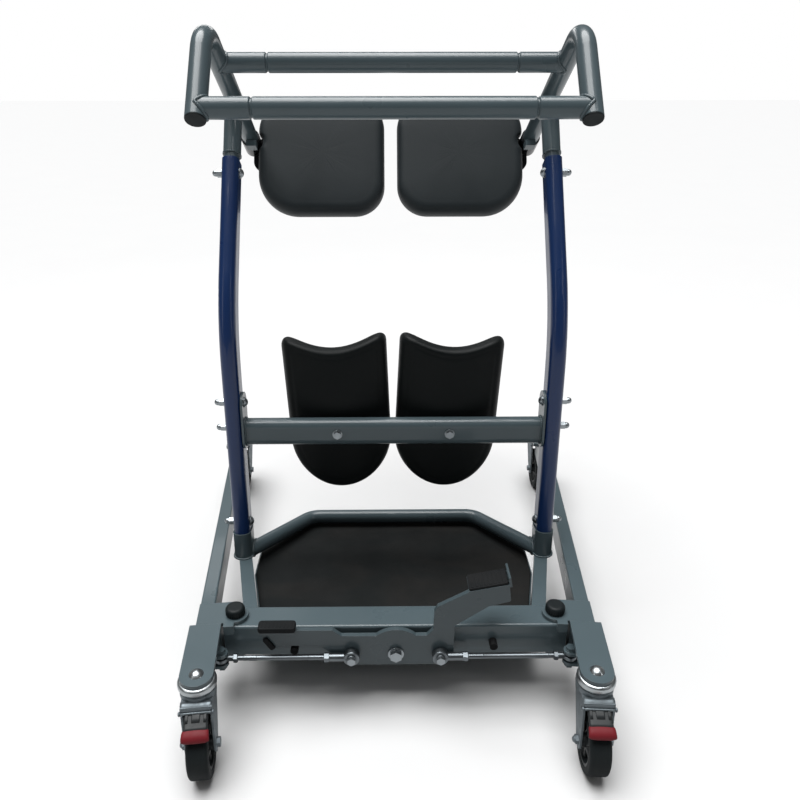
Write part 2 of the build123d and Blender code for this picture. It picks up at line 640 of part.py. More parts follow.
def wheel_hub(name):
    """Moulded wheel centre: a web with a rim and a bearing boss."""
    half = TYRE_W / 2
    hub = rod((-half + 1, -TRAIL, WHEEL_R), (half - 1, -TRAIL, WHEEL_R), HUB_R)
    for side in (-1, 1):
        ends = sorted((side * 5, side * half))
        dish = rod((ends[0], -TRAIL, WHEEL_R), (ends[1], -TRAIL, WHEEL_R), HUB_R - 4)
        hub -= dish
    hub += rod((-FORK_IN + 1, -TRAIL, WHEEL_R), (FORK_IN - 1, -TRAIL, WHEEL_R), 11)
    hub -= rod((-60, -TRAIL, WHEEL_R), (60, -TRAIL, WHEEL_R), 4 + RUN)
    return caster_place(name, hub)


def brake_pedal(name):
    """Foot brake: a sloping lever on a cross pin, with a wider tread."""
    side_plane = Plane(origin=(-18, 0, 0), x_dir=(0, 1, 0), z_dir=(1, 0, 0))
    profile = Polyline((-20, 117), (-34, 117.5), (-56, 107), (-72, 106.5), (-72, 101), (-56, 100.5),
                       (-40, 104), (-20, 106), close=True)
    lever = extrude(side_plane * make_face(profile), 36)
    tread = z_box(-22, 22, -72, -56, 100.5, 106.5)
    lever += fillet(tread.edges().filter_by(Axis.Z), 6)
    lever += rod((-24, *BRAKE_PIN), (24, *BRAKE_PIN), 2.5)
    return caster_place(name, lever)


# ---- leg-opening linkage ------------------------------------------------------------------
def crank_plate():
    """Rocker plate: close pedal on the left, raised open pedal on the right."""
    hump = 48.0
    pins = CRANK_PIN
    outline = Polyline(
        (-72, -24), (72, -24), (94, -6), (94, 56), (146, 94), (181, 104), (177, 136),
        (116, 123), (66, 94), (61, 84), (60, 48), (50, 36), (-88, 36), (-102, 48),
        (-215, 48), (-215, 30), (-208, 12), (-194, 12), (-184, 17), (-124, 17), (-94, -8),
        close=True)
    face = make_face(outline)
    face = fillet(face.vertices(), 4)
    plane = Plane(origin=(0, CRANK_Y + CRANK_T / 2, CRANK_Z), x_dir=(1, 0, 0), z_dir=(0, -1, 0))
    plate = extrude(plane * face, CRANK_T)
    swell = rod((0, CRANK_Y - CRANK_T / 2, CRANK_Z), (0, CRANK_Y + CRANK_T / 2, CRANK_Z), hump)
    plate += swell & z_box(-40, 40, 0, 200, CRANK_Z, CRANK_Z + 60)
    face_y = CRANK_Y - CRANK_T / 2
    back = Plane(origin=(0, face_y + TREAD_DEPTH, CRANK_Z), x_dir=(1, 0, 0), z_dir=(0, -1, 0))
    tread = extrude(back * make_face(Polyline((114, 123), (177, 136), (174.5, 148), (178, 149),
                                              (181.5, 132), (115, 119), close=True)), TREAD_DEPTH)
    flange = z_box(-218, -162, face_y - 9, face_y + 2, CRANK_Z + 48, CRANK_Z + 52)
    flange += z_box(-218, -162, face_y, face_y + CRANK_T, CRANK_Z + 46, CRANK_Z + 52)
    plate += tread + flange
    plate -= rod((0, 0, CRANK_Z), (0, 200, CRANK_Z), 6 + RUN)
    for x in (-pins, pins):
        plate -= rod((x, 0, CRANK_Z), (x, 200, CRANK_Z), 4.1)
    return plate


def crank_pad():
    """Rubber sleeve on the close pedal."""
    face_y = CRANK_Y - CRANK_T / 2
    pad = z_box(-220, -160, face_y - 11, face_y + CRANK_T + 2, CRANK_Z + 52.2, CRANK_Z + 62)
    return fillet(pad.edges().filter_by(Axis.Z), 5)


def tread_pad():
    """Rubber strip on top of the open pedal's tread."""
    face_y = CRANK_Y - CRANK_T / 2
    back = Plane(origin=(0, face_y + TREAD_DEPTH - 1, CRANK_Z), x_dir=(1, 0, 0), z_dir=(0, -1, 0))
    return extrude(back * make_face(Polyline((114.5, 123.3), (175.8, 136), (174.8, 141),
                                             (113.5, 128.3), close=True)), TREAD_DEPTH - 2)


def crank_rod_bolt(side):
    """Bolt that fixes a tie rod's eye to the crank."""
    x = side * CRANK_PIN
    near = ROD_Y - 7
    bolt = rod((x, near, CRANK_Z), (x, CRANK_Y + CRANK_T / 2 + 1, CRANK_Z), 4.0)
    head = hexagon((x, near, CRANK_Z), (0, -1, 0), 13, 5.5)
    washer = rod((x, near, CRANK_Z), (x, near + 0.8, CRANK_Z), 6.5)
    return bolt + head + washer


def crank_pivot_bolt():
    """Crank bolt through the crossmember: head, washer, spacer and nut."""
    face_y, back = CRANK_Y - CRANK_T / 2, CRANK_Y + CRANK_T / 2
    near = PIVOT_Y - CROSS_D / 2
    bolt = rod((0, face_y - 3, CRANK_Z), (0, near + 16, CRANK_Z), 6.0)
    bolt += rod((0, face_y - 3, CRANK_Z), (0, face_y - 0.5, CRANK_Z), 13)
    bolt += hexagon((0, face_y - 3, CRANK_Z), (0, -1, 0), 18, 7.5)
    hole = rod((0, 0, CRANK_Z), (0, 300, CRANK_Z), 6.1)
    spacer = rod((0, back + 0.5, CRANK_Z), (0, near, CRANK_Z), 12) - hole
    nut = hexagon((0, near + WALL + 0.1, CRANK_Z), (0, 1, 0), 18, 10) - hole
    return bolt, spacer, nut


def tie_rod(side):
    """Threaded rod with the flattened eye that drops into the leg's clevis."""
    shank = rod((CRANK_PIN + 34, ROD_Y, CRANK_Z), (ROD_END_X - 9, ROD_Y, CRANK_Z), ROD_R)
    eye = rod((ROD_END_X, ROD_Y, CRANK_Z - 3), (ROD_END_X, ROD_Y, CRANK_Z + 3), 11)
    nut = hexagon((ROD_END_X - 26, ROD_Y, CRANK_Z), (1, 0, 0), 13, 6)
    neck = rod((ROD_END_X - 20, ROD_Y, CRANK_Z), (ROD_END_X - 8, ROD_Y, CRANK_Z), 5)
    eye += neck + shank + nut
    eye -= rod((ROD_END_X, ROD_Y, 0), (ROD_END_X, ROD_Y, 200), 4 + ROD_SLACK)
    return mirrored(side, eye)


def rod_end(side):
    """Ball-joint eye on the crank's pin, screwed onto the tie rod, with its jam nut."""
    x = CRANK_PIN
    eye = rod((x, ROD_Y - 6, CRANK_Z), (x, ROD_Y + 6, CRANK_Z), 13.5)
    eye = fillet(eye.edges().filter_by(GeomType.CIRCLE), 2)
    eye += rod((x + 9, ROD_Y, CRANK_Z), (x + 36, ROD_Y, CRANK_Z), 6.8)
    eye -= rod((x, 0, CRANK_Z), (x, 200, CRANK_Z), 4 + RUN)
    bore = rod((x + 33, ROD_Y, CRANK_Z), (x + 60, ROD_Y, CRANK_Z), ROD_R + 0.1)
    jam = hexagon((x + 36.2, ROD_Y, CRANK_Z), (1, 0, 0), 13.5, 8) - bore
    return [mirrored(side, shape) for shape in (eye - bore, jam)]


# ---- write every sub-part -----------------------------------------------------------------
def main():
    os.makedirs("parts", exist_ok=True)
    save("crossmember", crossmember())
    save("heel_rail", heel_rail())
    save("footplate_tray", footplate_tray())
    save("footplate_mat", footplate_mat())
    save("shin_bar", shin_bar())
    save("grip_bar_near", grip_bar(*NEAR_BAR))
    save("grip_bar_far", grip_bar(*FAR_BAR))
    save("loop_plugs", *[loop_plug(side) for side in SIDES.values()])
    save("upright_bolts", *[upright_bolt(side, y, z) for side in SIDES.values()
                            for y, z in UPRIGHT_BOLTS])
    save("shin_pad_bolts", *[shin_pad_bolt(side) for side in SIDES.values()])
    save("leg_pivot_bolts", *[piece for side in SIDES.values() for piece in leg_pivot_bolt(side)])
    save("pivot_caps", *[pivot_cap(side) for side in SIDES.values()])
    save("crank_pivot_bolt", *crank_pivot_bolt())
    save("crank_stops", *[crank_stop(x, z) for x, z in STOPS])
    save("seat_pins", *[seat_pin(side) for side in SIDES.values()])
    save("seat_stops", *[piece for side in SIDES.values() for piece in seat_stop(side)])
    save("crank_plate", crank_plate())
    save("crank_pad", crank_pad())
    save("tread_pad", tread_pad())
    save("crank_rod_bolts", *[crank_rod_bolt(side) for side in SIDES.values()])
    for word, side in SIDES.items():
        save(f"side_rail_{word}", side_rail(side))
        save(f"upright_socket_{word}", socket(side))
        save(f"upright_{word}", upright(side))
        save(f"handle_loop_{word}", handle_loop(side))
        save(f"shin_pad_{word}", shin_pad(side))
        save(f"seat_pad_{word}", seat_pad(side))
        save(f"seat_bracket_{word}", *seat_bracket(side))
        save(f"leg_frame_{word}", *leg_frame(side))
        save(f"caster_plates_{word}", *caster_plates(side))
        save(f"caster_stems_{word}", *caster_stem(f"near_{word}"), *caster_stem(f"far_{word}"))
        save(f"rod_clevis_{word}", *rod_clevis(side))
        save(f"tie_rod_{word}", tie_rod(side))
        save(f"rod_end_{word}", *rod_end(side))
        save(f"brake_pedal_{word}", brake_pedal(f"near_{word}"))
    for name in CASTERS:
        save(f"caster_fork_{name}", *caster_fork(name))
        save(f"wheel_tyre_{name}", wheel_tyre(name))
        save(f"wheel_hub_{name}", wheel_hub(name))


main()
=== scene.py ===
"""Looks of the standing transfer hoist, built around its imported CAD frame."""

import json
from math import atan2, cos, pi, radians, sin, sqrt, tan

import bpy
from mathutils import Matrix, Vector, noise


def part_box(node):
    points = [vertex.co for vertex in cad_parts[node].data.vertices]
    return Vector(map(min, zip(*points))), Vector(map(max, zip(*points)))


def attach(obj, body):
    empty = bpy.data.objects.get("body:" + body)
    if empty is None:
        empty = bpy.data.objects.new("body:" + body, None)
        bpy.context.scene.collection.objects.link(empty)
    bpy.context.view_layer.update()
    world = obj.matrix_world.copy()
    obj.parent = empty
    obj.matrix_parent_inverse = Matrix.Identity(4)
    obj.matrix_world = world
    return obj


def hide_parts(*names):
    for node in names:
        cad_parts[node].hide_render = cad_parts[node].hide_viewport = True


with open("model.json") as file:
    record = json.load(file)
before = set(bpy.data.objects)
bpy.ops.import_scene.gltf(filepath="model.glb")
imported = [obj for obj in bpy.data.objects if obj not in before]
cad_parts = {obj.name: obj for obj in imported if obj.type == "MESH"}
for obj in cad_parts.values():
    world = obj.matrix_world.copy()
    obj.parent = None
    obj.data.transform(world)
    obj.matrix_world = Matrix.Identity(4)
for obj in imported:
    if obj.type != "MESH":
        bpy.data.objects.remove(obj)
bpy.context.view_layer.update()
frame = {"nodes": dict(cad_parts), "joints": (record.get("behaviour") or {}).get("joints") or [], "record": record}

NODES = frame["nodes"]
JOINTS = {joint["name"]: joint for joint in frame["joints"]}
SIDES = {"left": -1, "right": 1}
CASTERS = ("near_left", "near_right", "far_left", "far_right")

GREY = (0.0465, 0.0650, 0.0730)
NAVY = (0.0043, 0.0180, 0.0690)


# ---- camera, floor and light --------------------------------------------------------------
def camera():
    data = bpy.data.cameras.new("camera")
    data.lens = 32.08
    data.sensor_width = 36.0
    data.shift_x = 0.0144
    eye = bpy.data.objects.new("camera", data)
    bpy.context.scene.collection.objects.link(eye)
    eye.location = (-0.0202, -1.1865, 0.9573)
    eye.rotation_euler = (pi / 2 - 0.421, 0.001, -0.010)
    bpy.context.scene.camera = eye


def softbox(name, place, target, size, watts):
    data = bpy.data.lights.new(name, "AREA")
    data.shape = "RECTANGLE"
    data.size, data.size_y = size
    data.energy = watts
    lamp = bpy.data.objects.new(name, data)
    bpy.context.scene.collection.objects.link(lamp)
    lamp.location = place
    aim = Vector(target) - Vector(place)
    lamp.rotation_euler = aim.to_track_quat("-Z", "Y").to_euler()


def studio():
    """White walls that light the object gently, a broad overhead light and strip lights."""
    world = bpy.data.worlds.new("studio")
    bpy.context.scene.world = world
    world.use_nodes = True
    tree = world.node_tree
    walls = tree.nodes["Background"]
    walls.inputs["Color"].default_value = (1.0, 1.0, 1.0, 1.0)
    rays = tree.nodes.new("ShaderNodeLightPath")
    strength = tree.nodes.new("ShaderNodeMapRange")
    strength.inputs["To Min"].default_value = 0.12
    strength.inputs["To Max"].default_value = 1.0
    tree.links.new(rays.outputs["Is Camera Ray"], strength.inputs["Value"])
    tree.links.new(strength.outputs["Result"], walls.inputs["Strength"])

    data = bpy.data.lights.new("overhead", "SUN")
    data.angle = radians(50)
    data.energy = 6.5
    sun = bpy.data.objects.new("overhead", data)
    bpy.context.scene.collection.objects.link(sun)
    sun.rotation_euler = (radians(-6), radians(-8), 0)

    softbox("strip_left", (-1.9, -1.5, 1.7), (0, 0, 0.6), (0.12, 1.8), 5)
    softbox("strip_right", (2.0, -1.3, 1.6), (0, 0, 0.6), (0.12, 1.8), 4.5)
    softbox("strip_top", (0.3, -0.7, 2.6), (0, 0.1, 0.6), (2.2, 0.10), 5)
    softbox("strip_back", (-0.6, 2.3, 1.9), (0, 0, 0.6), (1.6, 0.3), 6)
    bpy.context.scene.view_settings.view_transform = "Standard"


def floor():
    reach = 40.0
    corners = [(-reach, -reach, 0), (reach, -reach, 0), (reach, reach, 0), (-reach, reach, 0)]
    plane = mesh_object("floor", corners, [(0, 1, 2, 3)])
    paint = Paint("floor_pale", roughness=0.8, specular=0.1)
    paint.colour(paint.blend((0.450, 0.4515, 0.454), (0.462, 0.462, 0.462), paint.noise(3.0)))
    dress(plane, paint)


# ---- materials ----------------------------------------------------------------------------
class Paint:
    """A Principled material whose detail comes from noise in the object's own metres."""

    def __init__(self, name, roughness=0.5, metallic=0.0, coat=0.0, coat_roughness=0.1,
                 sheen=0.0, specular=0.5):
        self.material = bpy.data.materials.new(name)
        self.material.use_nodes = True
        self.tree = self.material.node_tree
        self.shader = self.tree.nodes["Principled BSDF"]
        self.set("Roughness", roughness)
        self.set("Metallic", metallic)
        self.set("Coat Weight", coat)
        self.set("Coat Roughness", coat_roughness)
        self.set("Sheen Weight", sheen)
        self.set("Specular IOR Level", specular)
        self.place = self.tree.nodes.new("ShaderNodeTexCoord").outputs["Object"]
        self.normal = None

    def set(self, socket, value):
        self.shader.inputs[socket].default_value = value

    def link(self, source, target):
        self.tree.links.new(source, target)

    def stretched(self, scale):
        node = self.tree.nodes.new("ShaderNodeMapping")
        node.inputs["Scale"].default_value = scale
        self.link(self.place, node.inputs["Vector"])
        return node.outputs["Vector"]

    def noise(self, scale, detail=3.0, stretch=None, warp=0.0):
        node = self.tree.nodes.new("ShaderNodeTexNoise")
        node.inputs["Scale"].default_value = scale
        node.inputs["Detail"].default_value = detail
        node.inputs["Distortion"].default_value = warp
        self.link(self.stretched(stretch) if stretch else self.place, node.inputs["Vector"])
        return node.outputs["Fac"]

    def cells(self, scale):
        node = self.tree.nodes.new("ShaderNodeTexVoronoi")
        node.inputs["Scale"].default_value = scale
        self.link(self.place, node.inputs["Vector"])
        return node.outputs["Distance"]

    def remap(self, value, low, high, to_low=0.0, to_high=1.0):
        node = self.tree.nodes.new("ShaderNodeMapRange")
        node.inputs["From Min"].default_value = low
        node.inputs["From Max"].default_value = high
        node.inputs["To Min"].default_value = to_low
        node.inputs["To Max"].default_value = to_high
        self.link(value, node.inputs["Value"])
        return node.outputs["Result"]

    def maths(self, what, a, b):
        node = self.tree.nodes.new("ShaderNodeMath")
        node.operation = what
        for socket, value in zip(node.inputs, (a, b)):
            if isinstance(value, (int, float)):
                socket.default_value = value
            else:
                self.link(value, socket)
        return node.outputs["Value"]

    def blend(self, first, second, factor):
        node = self.tree.nodes.new("ShaderNodeMix")
        node.data_type = "RGBA"
        for socket, value in ((node.inputs[6], first), (node.inputs[7], second)):
            if isinstance(value, tuple):
                socket.default_value = (*value, 1.0)
            else:
                self.link(value, socket)
        self.link(factor, node.inputs[0])
        return node.outputs[2]

    def colour(self, value):
        self.link(value, self.shader.inputs["Base Color"])

    def rough(self, value):
        self.link(value, self.shader.inputs["Roughness"])

    def rounded(self, radius):
        """Softens the look of sharp edges, and returns how much of an edge a point is on."""
        soft = self.tree.nodes.new("ShaderNodeBevel")
        soft.samples = 4
        soft.inputs["Radius"].default_value = radius
        self.normal = soft.outputs["Normal"]
        flat = self.tree.nodes.new("ShaderNodeNewGeometry")
        dot = self.tree.nodes.new("ShaderNodeVectorMath")
        dot.operation = "DOT_PRODUCT"
        self.link(self.normal, dot.inputs[0])
        self.link(flat.outputs["Normal"], dot.inputs[1])
        return self.remap(dot.outputs["Value"], 0.995, 0.85)

    def bump(self, height, depth, strength=1.0):
        node = self.tree.nodes.new("ShaderNodeBump")
        node.inputs["Distance"].default_value = depth
        node.inputs["Strength"].default_value = strength
        self.link(height, node.inputs["Height"])
        if self.normal:
            self.link(self.normal, node.inputs["Normal"])
        self.normal = node.outputs["Normal"]
        self.link(self.normal, self.shader.inputs["Normal"])


def tone(colour, factor):
    return tuple(channel * factor for channel in colour)


def powder_coat(name, colour, worn):
    """Glossy powder coat: orange peel, slow drift in tone, rubbed edges and faint scuffs."""
    paint = Paint(name, coat=0.2, coat_roughness=0.07, specular=0.25)
    edge = paint.rounded(0.0012)
    drift = paint.blend(tone(colour, 0.93), tone(colour, 1.08), paint.noise(6.0, 3.0))
    flakes = paint.remap(paint.cells(1500.0), 0.0, 0.25, 0.0, 1.0)
    drift = paint.blend(tone(colour, 1.18), drift, flakes)
    rubbed = paint.maths("MULTIPLY", edge, paint.remap(paint.noise(90.0, 5.0), 0.45, 0.7))
    scuffs = paint.remap(paint.noise(40.0, 9.0, (1.0, 4.0, 1.0), 0.6), 0.72, 0.84, 0.0, 0.07)
    marks = paint.maths("MAXIMUM", paint.maths("MULTIPLY", rubbed, 0.45), scuffs)
    paint.colour(paint.blend(drift, worn, marks))
    cloud = paint.remap(paint.noise(18.0, 3.0), 0.3, 0.7, 0.27, 0.34)
    paint.rough(paint.maths("ADD", cloud, paint.maths("MULTIPLY", marks, 0.12)))
    paint.bump(paint.noise(420.0, 1.0), 0.00010, 0.22)
    return paint


def plated(name, colour, roughness, grain=(1.0, 1.0, 1.0)):
    """Zinc or chrome plate: faint clouds in tone, fine scratches."""
    paint = Paint(name, metallic=1.0)
    paint.rounded(0.0006)
    paint.colour(paint.blend(tone(colour, 0.88), colour, paint.noise(60.0, 3.0)))
    paint.rough(paint.remap(paint.noise(90.0, 4.0, grain), 0.25, 0.75,
                            roughness * 0.8, roughness * 1.35))
    paint.bump(paint.noise(900.0, 2.0, grain), 0.00002, 0.15)
    return paint


def foam_skin(name, colour, roughness, specular):
    """Moulded foam skin: fine leather-like grain, a soft sheen and handled, shinier patches."""
    paint = Paint(name, sheen=0.03, specular=specular)
    handled = paint.noise(9.0, 4.0)
    paint.colour(paint.blend(tone(colour, 0.85), tone(colour, 1.2), handled))
    paint.rough(paint.remap(handled, 0.3, 0.7, roughness - 0.06, roughness + 0.08))
    grain = paint.maths("ADD", paint.cells(620.0),
                        paint.maths("MULTIPLY", paint.noise(1500.0, 2.0), 0.5))
    paint.bump(grain, 0.00022, 0.35)
    return paint


def moulded(name, colour, roughness, specular=0.4):
    """Injection-moulded plastic with a spark-eroded surface."""
    paint = Paint(name, specular=specular)
    paint.rounded(0.0008)
    paint.colour(paint.blend(tone(colour, 0.85), tone(colour, 1.2), paint.noise(24.0, 5.0)))
    paint.rough(paint.remap(paint.noise(70.0, 4.0), 0.3, 0.7, roughness - 0.06, roughness + 0.08))
    paint.bump(paint.noise(900.0, 3.0), 0.00015, 0.4)
    return paint


def rubber(name, colour, dust, roughness=0.82):
    """Matt rubber with a bloom of dust and dragged smudges."""
    paint = Paint(name, specular=0.12)
    smudge = paint.remap(paint.noise(5.5, 7.0, (1.0, 1.8, 1.0), 0.8), 0.42, 0.74)
    paint.colour(paint.blend(colour, dust, smudge))
    paint.rough(paint.remap(paint.noise(18.0, 6.0), 0.3, 0.7, roughness - 0.1, roughness + 0.08))
    grain = paint.maths("ADD", paint.noise(1400.0, 2.0), paint.cells(900.0))
    paint.bump(grain, 0.0002, 0.5)
    return paint


def dress(obj, paint):
    obj.data.materials.clear()
    obj.data.materials.append(paint.material)


# ---- meshes -------------------------------------------------------------------------------
SKEW = (0.31, 0.52, 0.79)      # a direction that no path runs along


def mesh_object(name, points, faces, smooth=True):
    mesh = bpy.data.meshes.new(name)
    mesh.from_pydata([tuple(p) for p in points], [], faces)
    mesh.update()
    mesh.polygons.foreach_set("use_smooth", [smooth] * len(mesh.polygons))
    obj = bpy.data.objects.new(name, mesh)
    bpy.context.scene.collection.objects.link(obj)
    return obj


def bridge(first, second, count):
    """Quads between two rings of points that start at these indices."""
    return [(first + i, first + (i + 1) % count, second + (i + 1) % count, second + i)
            for i in range(count)]


def loft(name, rings, cap_start=True, cap_end=True):
    """A skin through closed rings of equal length, closed by a fan at each end."""
    count = len(rings[0])
    points = [p for ring in rings for p in ring]
    faces = []
    for i in range(len(rings) - 1):
        faces += bridge(i * count, (i + 1) * count, count)
    for wanted, first, flip in ((cap_start, 0, True), (cap_end, (len(rings) - 1) * count, False)):
        if wanted:
            middle = sum((Vector(p) for p in points[first:first + count]), Vector()) / count
            points.append(middle)
            hub = len(points) - 1
            for i in range(count):
                pair = (first + i, first + (i + 1) % count)
                faces.append((pair[1], pair[0], hub) if flip else (*pair, hub))
    return mesh_object(name, points, faces)


def subdivide(obj):
    modifier = obj.modifiers.new("smooth", "SUBSURF")
    modifier.levels = modifier.render_levels = 1
    return obj


def around(x, y, angle):
    """Unit vector at an angle in the plane of two axes."""
    return x * cos(angle) + y * sin(angle)


def turns(count):
    """Angles of equal steps once round."""
    return [2 * pi * i / count for i in range(count)]


def axes_from(z, x_hint):
    """Unit axes with the given z, and x as near to the hint as can be."""
    z = Vector(z).normalized()
    x = Vector(x_hint)
    x = (x - z * x.dot(z)).normalized()
    return x, z.cross(x), z


def lathe(name, profile, origin, axis, count=48):
    """A turned piece: (radius, height) pairs revolved about an axis."""
    x, y, z = axes_from(axis, (1, 0, 0) if abs(Vector(axis).normalized().x) < 0.9 else (0, 1, 0))
    rings = [[Vector(origin) + z * height + around(x, y, angle) * radius
              for angle in turns(count)] for radius, height in profile]
    return loft(name, rings)


def bead(name, path, radius, closed=True, ripple=0.16):
    """A weld bead along a path: a rounded string with overlapping ripples."""
    pitch = 0.0032
    points = [Vector(p) for p in path]
    if closed:
        points.append(points[0])
    lengths = [0.0]
    for a, b in zip(points, points[1:]):
        lengths.append(lengths[-1] + (b - a).length)
    steps = max(12, int(lengths[-1] / pitch * 4))           # four rings to a ripple
    rings, j = [], 0
    for step in range(steps if closed else steps + 1):
        s = lengths[-1] * step / steps
        while j < len(points) - 2 and lengths[j + 1] < s:
            j += 1
        a, b = points[j], points[j + 1]
        run = (b - a).normalized()
        spot = a + run * (s - lengths[j])
        side, up, _ = axes_from(run, SKEW)
        uneven = 0.08 * noise.noise(spot * 400)
        swell = radius * (1.0 + ripple * sin(2 * pi * s / pitch) + uneven)
        rings.append([spot + around(side, up, angle) * swell for angle in turns(8)])
    if closed:
        rings.append(rings[0])
    return loft(name, rings, not closed, not closed)


def rounded_outline(left, right, bottom, top, radii, pitch):
    """Closed outline of a rectangle with its own radius at each corner, evenly spaced points.
    The radii are those of the left bottom, right bottom, right top and left top corners."""
    corners = ((left, bottom, pi), (right, bottom, 1.5 * pi), (right, top, 0.0),
               (left, top, 0.5 * pi))
    track, steps = [], 24
    for (x, y, start), radius in zip(corners, radii):
        cx = x + (radius if x == left else -radius)
        cy = y + (radius if y == bottom else -radius)
        for i in range(steps + 1):
            angle = start + 0.5 * pi * i / steps
            track.append(Vector((cx + radius * cos(angle), cy + radius * sin(angle))))
    return resample(track, pitch)


def resample(track, pitch):
    """The closed track again, with points a pitch apart (pitch is a length, or a whole count)."""
    track = track + [track[0]]
    lengths = [0.0]
    for a, b in zip(track, track[1:]):
        lengths.append(lengths[-1] + (b - a).length)
    count = pitch if isinstance(pitch, int) else int(lengths[-1] / pitch)
    out, j = [], 0
    for i in range(count):
        s = lengths[-1] * i / count
        while lengths[j + 1] < s:
            j += 1
        share = (s - lengths[j]) / max(lengths[j + 1] - lengths[j], 1e-9)
        out.append(track[j].lerp(track[j + 1], share))
    return out


def hold(pad, count):
    """Marks a pad's first points, and the middle of its first fan, as held in the simulation."""
    group = pad.vertex_groups.new(name="held")
    group.add([*range(count), len(pad.data.vertices) - 2], 1.0, "REPLACE")


def puff(objects, pressure, limit):
    """Inflates the free face of each pad by cloth simulation, and keeps the result.
    No point moves further than the limit."""
    scene = bpy.context.scene
    frames = 20
    before = {obj: [v.co.copy() for v in obj.data.vertices] for obj in objects}
    for obj in objects:
        cloth = obj.modifiers.new("cloth", "CLOTH")
        cloth.settings.use_pressure = True
        cloth.settings.uniform_pressure_force = pressure
        cloth.settings.vertex_group_mass = "held"
        cloth.settings.tension_stiffness = 15
        cloth.settings.bending_stiffness = 2
        cloth.settings.effector_weights.gravity = 0
        cloth.point_cache.frame_end = frames
    for step in range(1, frames + 1):
        scene.frame_set(step)
    depsgraph = bpy.context.evaluated_depsgraph_get()
    for obj in objects:
        shaped = [v.co.copy() for v in obj.evaluated_get(depsgraph).data.vertices]
        obj.modifiers.clear()
        for vertex, old, new in zip(obj.data.vertices, before[obj], shaped):
            move = new - old
            reach = move.length
            if reach > 0:
                eased = limit * (1 - 2.718 ** (-reach / limit))
                vertex.co = old + move * (eased / reach)
        obj.vertex_groups.clear()
    scene.frame_set(1)


# ---- frame sizes that the pieces are built from, in metres ---------------------------------
SEAT_AXIS = Vector(JOINTS["seat_right_swing"]["axis"])      # away from the handle
SEAT_PIVOT = Vector(JOINTS["seat_right_swing"]["pos_m"])
LOOP_X = SEAT_PIVOT.x                                       # middle of the handle loops
TUBE_R = 0.016                                              # handle loops and grip bars
NEAR_RUN = Vector((0, 107, 128)).normalized()               # the loop's near and far runs
FAR_RUN = SEAT_AXIS
UPPER_RAKE, LOWER_LEAN, LEG_TOE = radians(32.7), radians(5.0), radians(5.4)
UPRIGHT_BEND = (0.00275, 0.5756)                            # y and z
STEM, SOCKET, BAR_FLANGE = (0.030, 0.036), (0.034, 0.054), (0.030, 0.050)   # width, depth
LUG_T = 0.006                                               # sheet of the legs' pivot lugs
LUG_ENDS = (-0.0218, 0.0308)                                # along the leg, from its pivot
HEEL_R = 0.014                                              # the heel rail's tube, and its line
HEEL_CORNER = (0.171, 0.09716, 0.112)
HEEL_END = (0.2816, -0.04024, 0.124)
SOCKET_HALF = 0.0178                                        # a socket's middle to its outside
RAIL_ROOT, RAIL_HALF = 0.244, 0.0129                        # a side rail's middle, half its width
TREAD_SLOPE, TREAD_PAD_T = radians(11.7), 0.005
SHIN_BAR_Z = 0.371                                          # middle of the bar's end flanges
SHIN_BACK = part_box("shin_pad_left")[0].y + 0.0048           # the pads' convex side
SHIN_BOLT_R = 0.009


def mirrored(side, points):
    return [Vector((side * p[0], p[1], p[2])) for p in points]


# ---- half seats ---------------------------------------------------------------------------
SEAT_W, SEAT_H, SEAT_T = 0.262, 0.252, 0.040
SEAT_GAP = 0.005              # from the pivot to the sitting face, along the pin
SEAT_OUTER = 0.0135           # from the pin inwards to the pad's outer edge
SEAT_TOP = 0.0965             # from the pin up to its top edge
HUB_BITE = 0.022              # radius of the bite round the pivot hub


def seat_point(u, v, depth):
    """u inwards, v up the slope, depth away from the handle, for the right-hand seat."""
    x, z = Vector((-1, 0, 0)), SEAT_AXIS
    return SEAT_PIVOT + x * u + z.cross(x) * v + z * depth


def seat_pad(word, paint):
    """Half seat: flat sitting face, rolled rim, flat back, bitten round the pivot hub."""
    side = SIDES[word]
    count = 240
    left, right, bottom, top = SEAT_OUTER, SEAT_OUTER + SEAT_W, SEAT_TOP - SEAT_H, SEAT_TOP
    radii = (0.085, 0.062, 0.070, 0.075)
    outer = rounded_outline(left, right, bottom, top, radii, count)
    inset = 0.027
    inner = rounded_outline(left + inset, right - inset, bottom + inset, top - inset,
                            [r - inset * 0.8 for r in radii], count)
    bitten = [p * max(1.0, HUB_BITE / p.length) for p in outer]
    # share of the way from rim to inner line, and depth behind the sitting face
    rim = ((0.80, 1.0), (0.35, 1.0), (0.12, 0.96), (0.0, 0.86), (0.0, 0.62), (0.02, 0.44),
           (0.10, 0.26), (0.24, 0.12), (0.44, 0.045), (0.70, 0.012), (0.93, 0.006), (1.0, 0.0))
    centre = sum(inner, Vector((0, 0))) / len(inner)
    rings = []
    for share in (0.35, 0.7):
        rings.append([seat_point(*centre.lerp(q, share), SEAT_GAP + SEAT_T) for q in inner])
    for share, depth in rim:
        rings.append([seat_point(*p.lerp(q, share), SEAT_GAP + SEAT_T * depth)
                      for p, q in zip(bitten, inner)])
    held = len(rings)
    for share in (0.94, 0.87, 0.78, 0.68, 0.57, 0.46, 0.35, 0.24, 0.13, 0.05):
        swell = 0.0012 * (1 - share ** 2)
        rings.append([seat_point(*centre.lerp(q, share), SEAT_GAP - swell) for q in inner])
    rings = [mirrored(side, ring) for ring in rings]
    pad = loft("seat_cushion_" + word, rings)
    if side > 0:
        pad.data.flip_normals()
    hold(pad, held * count)
    dress(pad, paint)
    return pad


# ---- shin pads ----------------------------------------------------------------------------
SHIN_W, SHIN_T = 0.193, 0.038
SHIN_R = 0.190                # the pad's convex back is bent to this radius
SHIN_LEAN = 2.5               # degrees that each pad leans outwards on its bolt


